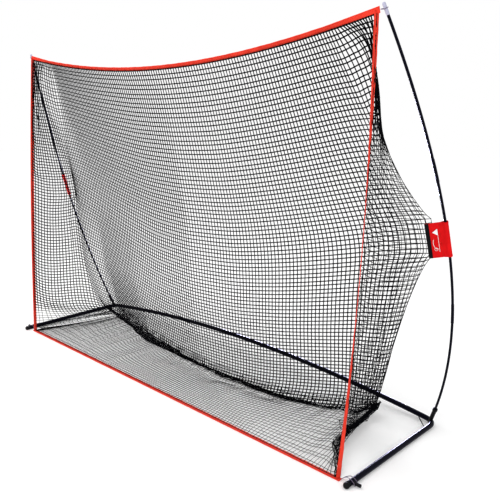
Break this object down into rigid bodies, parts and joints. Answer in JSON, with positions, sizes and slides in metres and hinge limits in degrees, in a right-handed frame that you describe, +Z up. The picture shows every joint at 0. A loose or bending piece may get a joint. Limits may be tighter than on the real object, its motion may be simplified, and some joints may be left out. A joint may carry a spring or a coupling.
{
  "type": "golf practice net",
  "caption": "Free-standing golf practice net: a red-bound net bag held open by two bent poles on a plug-together steel tube base.",
  "frame": {"origin": "centre of the bounding box in plan, on the ground", "axes": "+Z up, +X along the net's width to the golfer's right, +Y from the open mouth to the rear crossbar"},
  "size_m": [3.3496, 0.8634, 2.0991],
  "materials": {
    "powder_coat": "black powder coat, satin gloss",
    "fibreglass": "black resin fibreglass, satin",
    "black_plastic": "moulded, satin",
    "pale_plastic": "moulded, pale grey",
    "bright_steel": "bright plated",
    "red_webbing": "woven polyester webbing, orange red",
    "red_fabric": "woven polyester, red",
    "black_webbing": "woven webbing, black",
    "netting": "knotless twine netting, black",
    "elastic_cord": "braided elastic cord"
  },
  "bodies": {
    "frame_and_net": {"crossbar_centre_tube": "powder_coat", "crossbar_left_tube": "powder_coat", "corner_elbow_left": "powder_coat", "side_arm_left": "powder_coat", "corner_brace_left": "powder_coat", "pole_socket_left": "black_plastic", "front_ball_cap_left": "black_plastic", "arm_peg_left": "black_plastic", "pole_lower_left": "fibreglass", "pole_middle_left": "fibreglass", "pole_upper_left": "fibreglass", "pole_ferrule_low_left": "fibreglass", "pole_ferrule_high_left": "fibreglass", "pole_tip_cap_left": "pale_plastic", "net_left_side": "netting", "binding_left": "red_webbing", "pole_sleeve_left": "red_fabric", "sleeve_webbing_left": "black_webbing", "corner_loop_bottom_left": "elastic_cord", "corner_loop_top_left": "elastic_cord", "crossbar_right_tube": "powder_coat", "corner_elbow_right": "powder_coat", "side_arm_right": "powder_coat", "corner_brace_right": "powder_coat", "pole_socket_right": "black_plastic", "front_ball_cap_right": "black_plastic", "arm_peg_right": "black_plastic", "pole_lower_right": "fibreglass", "pole_middle_right": "fibreglass", "pole_upper_right": "fibreglass", "pole_ferrule_low_right": "fibreglass", "pole_ferrule_high_right": "fibreglass", "pole_tip_cap_right": "pale_plastic", "net_right_side": "netting", "binding_right": "red_webbing", "pole_sleeve_right": "red_fabric", "sleeve_webbing_right": "black_webbing", "corner_loop_bottom_right": "elastic_cord", "corner_loop_top_right": "elastic_cord", "net_back_panel": "netting", "net_floor_panel": "netting", "binding_top": "red_webbing", "binding_floor": "red_webbing"},
    "snap_button_crossbar_inner_left": {"snap_button_crossbar_inner_left": "bright_steel"},
    "snap_button_crossbar_corner_left": {"snap_button_crossbar_corner_left": "bright_steel"},
    "snap_button_arm_left": {"snap_button_arm_left": "bright_steel"},
    "snap_button_crossbar_inner_right": {"snap_button_crossbar_inner_right": "bright_steel"},
    "snap_button_crossbar_corner_right": {"snap_button_crossbar_corner_right": "bright_steel"},
    "snap_button_arm_right": {"snap_button_arm_right": "bright_steel"}
  },
  "joints": [
    {"name": "crossbar_inner_button_left", "type": "slide", "parent": "frame_and_net", "child": "snap_button_crossbar_inner_left", "axis": [0.041, 0, -0.9992], "range_m": [0, 0.004], "stiffness_N_per_m": 2000},
    {"name": "crossbar_corner_button_left", "type": "slide", "parent": "frame_and_net", "child": "snap_button_crossbar_corner_left", "axis": [0.1217, 0, -0.9926], "range_m": [0, 0.004], "stiffness_N_per_m": 2000},
    {"name": "arm_button_left", "type": "slide", "parent": "frame_and_net", "child": "snap_button_arm_left", "axis": [0, 0, -1], "range_m": [0, 0.004], "stiffness_N_per_m": 2000},
    {"name": "crossbar_inner_button_right", "type": "slide", "parent": "frame_and_net", "child": "snap_button_crossbar_inner_right", "axis": [-0.041, 0, -0.9992], "range_m": [0, 0.004], "stiffness_N_per_m": 2000},
    {"name": "crossbar_corner_button_right", "type": "slide", "parent": "frame_and_net", "child": "snap_button_crossbar_corner_right", "axis": [-0.1217, 0, -0.9926], "range_m": [0, 0.004], "stiffness_N_per_m": 2000},
    {"name": "arm_button_right", "type": "slide", "parent": "frame_and_net", "child": "snap_button_arm_right", "axis": [0, 0, -1], "range_m": [0, 0.004], "stiffness_N_per_m": 2000}
  ]
}
